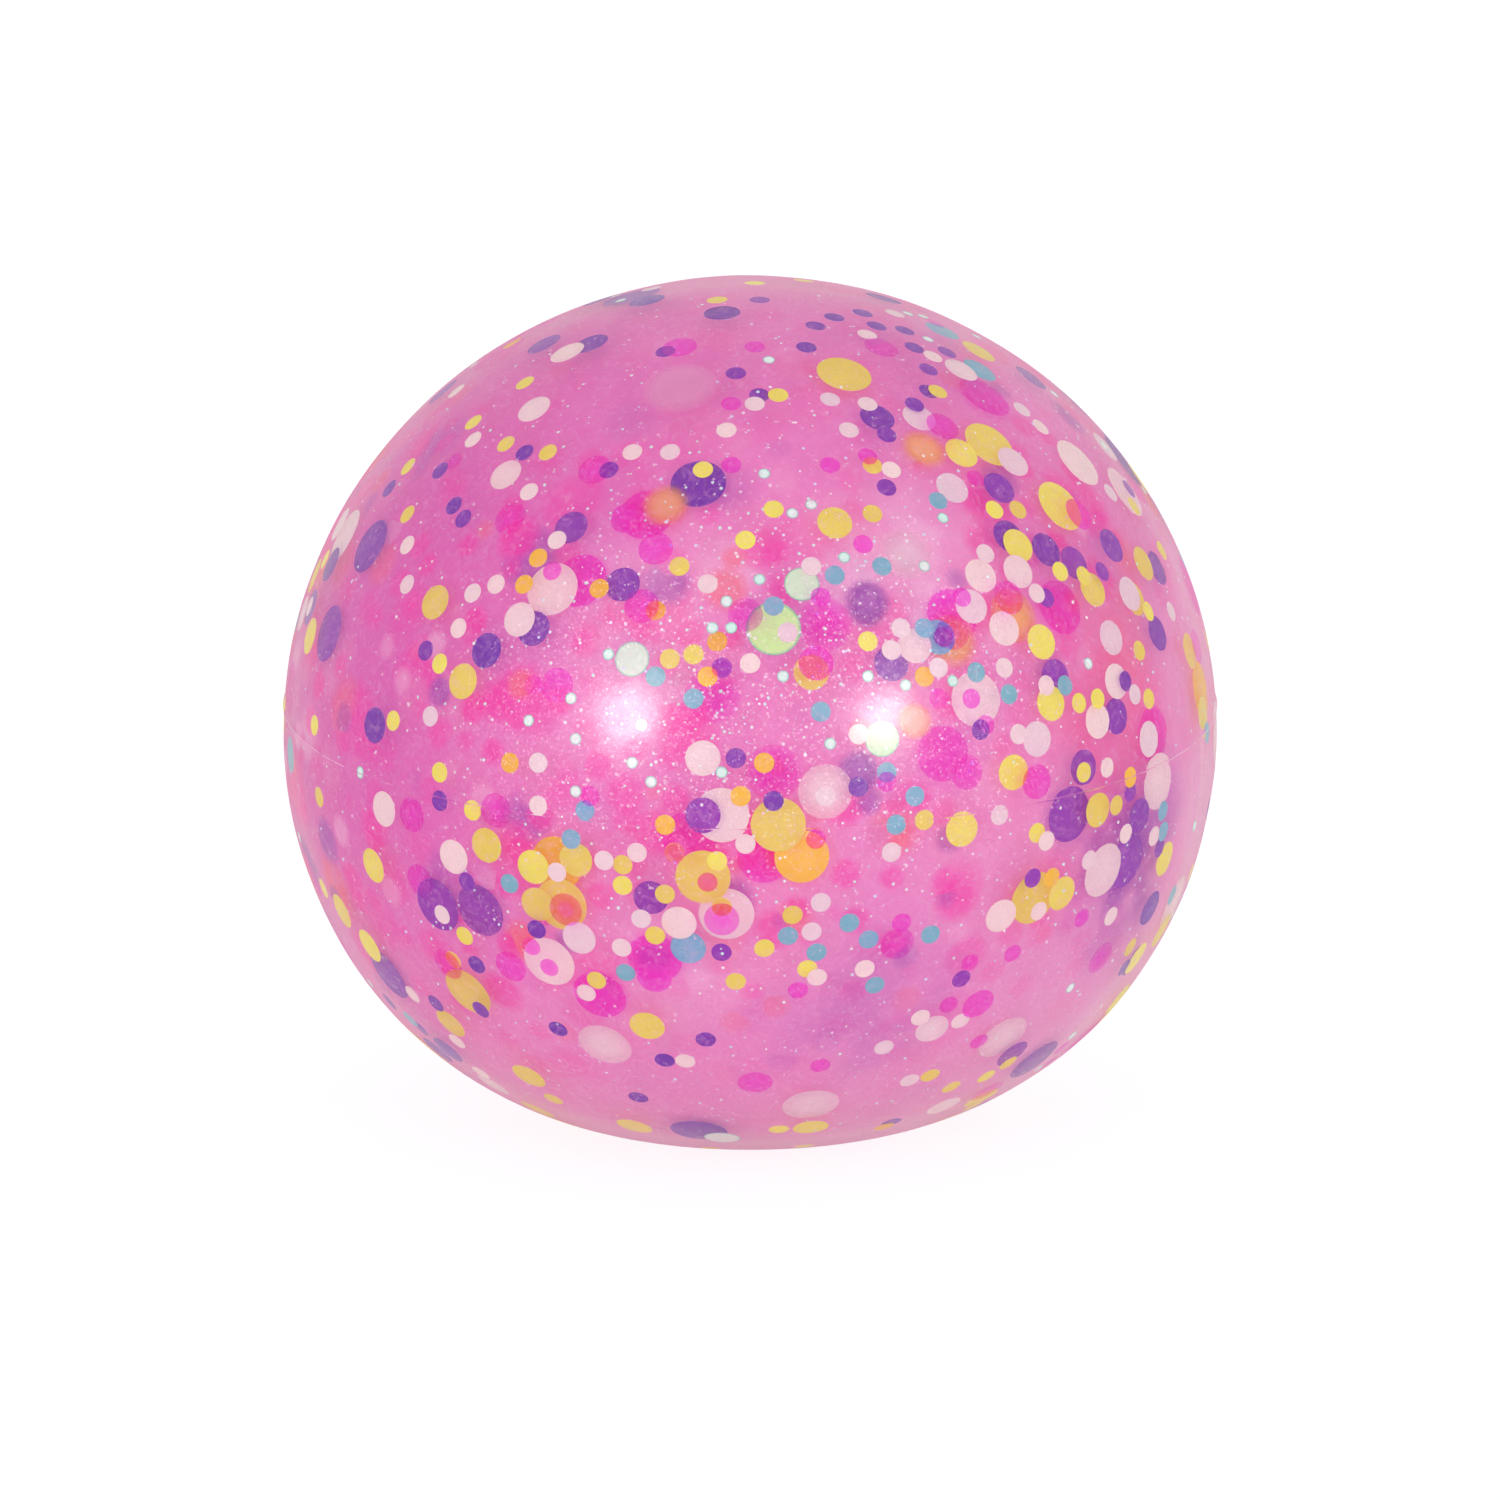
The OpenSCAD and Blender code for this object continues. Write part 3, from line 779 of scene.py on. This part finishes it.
def glitter(node, material, slot, around, fade=(0.0, 0.0), tones=(0.0, 1.0)):
    """The dots of a CAD node as thin films. Fade is the range of how far they sink into the pink."""
    bm = marked_mesh()
    for corners in solids_of(node):
        place, normal, radius = disc_of(corners)
        draw = random.Random(node + " ".join(f"{c / MM:.2f}" for c in place))
        tone, sunk = draw.uniform(*tones), draw.uniform(*fade) ** FADE_SKEW
        disc_at(bm, place, normal, radius, FILM_T, draw, around, (tone, sunk_at(node, place, sunk)))
    finished(node + "_film", bm, [material], "filling", slot, node)


def all_glitter():
    for colour, (*look, deepest) in FILMS.items():
        material = film(colour + "_film", *look)
        for size, (around, share) in DOT_SIZES.items():
            node = f"{colour}_dots_{size}"
            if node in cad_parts:
                glitter(node, material, colour + "_glitter", around, (0.0, deepest * share))
    flakes = iridescent("iridescent_flake", FLAKE_RIM_FROM)
    dots = iridescent("iridescent_dot", DOT_RIM_FROM)
    for kind, material, around, tones in (("flakes", flakes, 12, (0.52, 0.82)),
                                          ("dots_medium", dots, 28, (0.3, 0.5)),
                                          ("dots_large", dots, 36, (0.0, 0.05))):
        glitter("iridescent_" + kind, material, "iridescent", around, tones=tones)


# Stage

VIEW_RISE = 15.5
VIEW_DISTANCE = 3.0
VIEW_CLIP = (0.01, 20)
FRAME_W = 112.5 * MM
SENSOR_W = 36
AIM = Vector((0, 0, 27.9 * MM))
LAMP_DISTANCE = 1.0
LAMP_SIZE = 0.2
LAMP_POWER = 1.0
SHEEN_SIZE = 0.24
SHEEN_POWER = 6.6
LAMP_TURNS = (-30, 33)
LAMP_RISE = 4.4
ROOM_LIGHT = 0.8
FLOOR_W = 6.0
FLOOR_DROP = 0.02 * MM
FLOOR_GLOW = 1.15
FLOOR_GLOW_SHARE = (0.3, 0.75)
CLEAR_LAYERS = 32


def camera():
    a = math.radians(VIEW_RISE)
    back = Vector((0, -math.cos(a), math.sin(a)))
    data = bpy.data.cameras.new("camera")
    data.sensor_width = SENSOR_W
    data.lens = SENSOR_W * VIEW_DISTANCE / FRAME_W
    data.clip_start, data.clip_end = VIEW_CLIP
    made = bpy.data.objects.new("camera", data)
    bpy.context.scene.collection.objects.link(made)
    made.location = AIM + back * VIEW_DISTANCE
    made.rotation_euler = (-back).to_track_quat("-Z", "Y").to_euler()
    bpy.context.scene.camera = made
    return back, Vector((0, math.sin(a), math.cos(a)))


def lamp(name, way, size, power):
    data = bpy.data.lights.new(name, "AREA")
    data.shape = "DISK"
    data.size = size
    data.energy = power
    made = bpy.data.objects.new(name, data)
    made.location = MIDDLE + way * LAMP_DISTANCE
    made.rotation_euler = way.to_track_quat("Z", "Y").to_euler()
    bpy.context.scene.collection.objects.link(made)
    return made


def lamps(back, up):
    """Two soft boxes beside the camera, a little above it, each in a card that shows only as sheen."""
    lifted = Matrix.Rotation(math.radians(LAMP_RISE), 3, back.cross(up)) @ back
    for turn in LAMP_TURNS:
        way = Matrix.Rotation(math.radians(turn), 3, up) @ lifted
        lamp("soft_box", way, LAMP_SIZE, LAMP_POWER)
        lamp("sheen_card", way, SHEEN_SIZE, SHEEN_POWER).visible_diffuse = False


def seen_plainly(tree):
    """1 to the camera, in reflections and through the skin, and 0 to light between surfaces."""
    path = add(tree, "LightPath")
    seen = maths(tree, "MAXIMUM", path.outputs["Is Camera Ray"], path.outputs["Is Glossy Ray"])
    return maths(tree, "MAXIMUM", seen, path.outputs["Is Transmission Ray"])


def room():
    """White to the camera and in reflections, and a plain soft light on everything else."""
    world = bpy.data.worlds.new("room")
    bpy.context.scene.world = world
    world.use_nodes = True
    tree = world.node_tree
    tree.nodes.clear()
    strength = spread(tree, seen_plainly(tree), 0, 1, ROOM_LIGHT, 1.0)
    light = add(tree, "Background", {"Color": WHITE, "Strength": strength})
    add(tree, "OutputWorld", {"Surface": light.outputs[0]})


def floor():
    """A white sweep that keeps the ball's soft shadow."""
    bm = bmesh.new()
    half = FLOOR_W / 2
    corners = ((-half, -half), (half, -half), (half, half), (-half, half))
    bm.faces.new([bm.verts.new((x, y, -FLOOR_DROP)) for x, y in corners])
    mesh = bpy.data.meshes.new("floor")
    bm.to_mesh(mesh)
    bm.free()
    material, tree = new_material("white_floor")
    white = mixed(tree, grain(tree, FLOOR_GRAIN), *FLOOR_WHITES)
    card = add(tree, "BsdfDiffuse", {"Color": white})
    glow = add(tree, "Emission", {"Color": WHITE, "Strength": FLOOR_GLOW})
    share = spread(tree, seen_plainly(tree), 0, 1, *FLOOR_GLOW_SHARE)
    done(tree, shader_mix(tree, share, card.outputs[0], glow.outputs[0]))
    mesh.materials.append(material)
    made = bpy.data.objects.new("floor", mesh)
    bpy.context.scene.collection.objects.link(made)


skin_pieces()
plug()
gel()
all_glitter()
lamps(*camera())
room()
floor()

scene = bpy.context.scene
scene.view_settings.view_transform = "Standard"
scene.cycles.transparent_max_bounces = CLEAR_LAYERS
